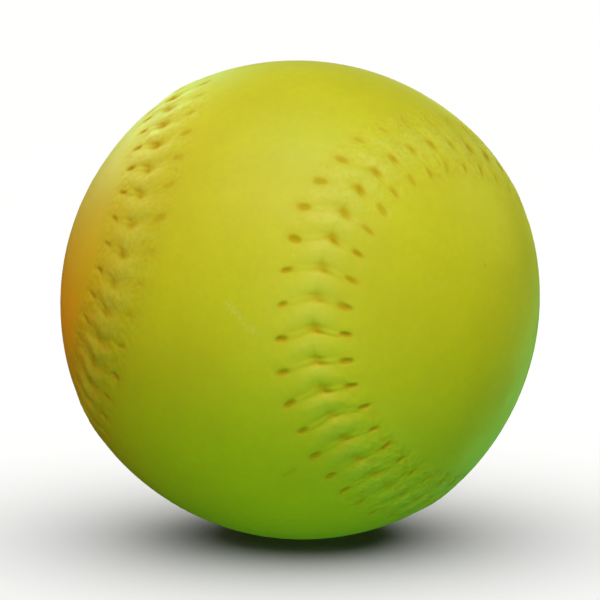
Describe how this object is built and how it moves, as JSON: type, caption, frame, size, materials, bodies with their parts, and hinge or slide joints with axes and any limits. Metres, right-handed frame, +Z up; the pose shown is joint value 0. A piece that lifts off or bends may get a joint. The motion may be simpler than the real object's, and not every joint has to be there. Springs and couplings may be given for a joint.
{
  "type": "softball",
  "caption": "Wound-core softball with a moulded two-panel cover and a moulded stitch facsimile along its seam.",
  "frame": {"origin": "centre of the ball", "axes": "+Z up, away from what the ball rests on; -Y toward the viewer of the seam's C-shaped bend"},
  "size_m": [0.097, 0.0973, 0.097],
  "materials": {
    "cover": "satin moulded, optic yellow",
    "cement": "set contact cement",
    "cement_under_cover": "set contact cement",
    "latex": "dipped latex",
    "thread": "tightly wound fine thread",
    "yarn": "wound yarn",
    "kapok": "pressed kapok fibre"
  },
  "bodies": {
    "root": {"kapok_core": "kapok", "yarn_winding": "yarn", "binding_thread": "thread", "latex_coat": "latex", "cement_film": "cement_under_cover", "cover_panel_a": "cover", "cover_panel_b": "cover", "seam_bond": "cement"}
  },
  "joints": []
}
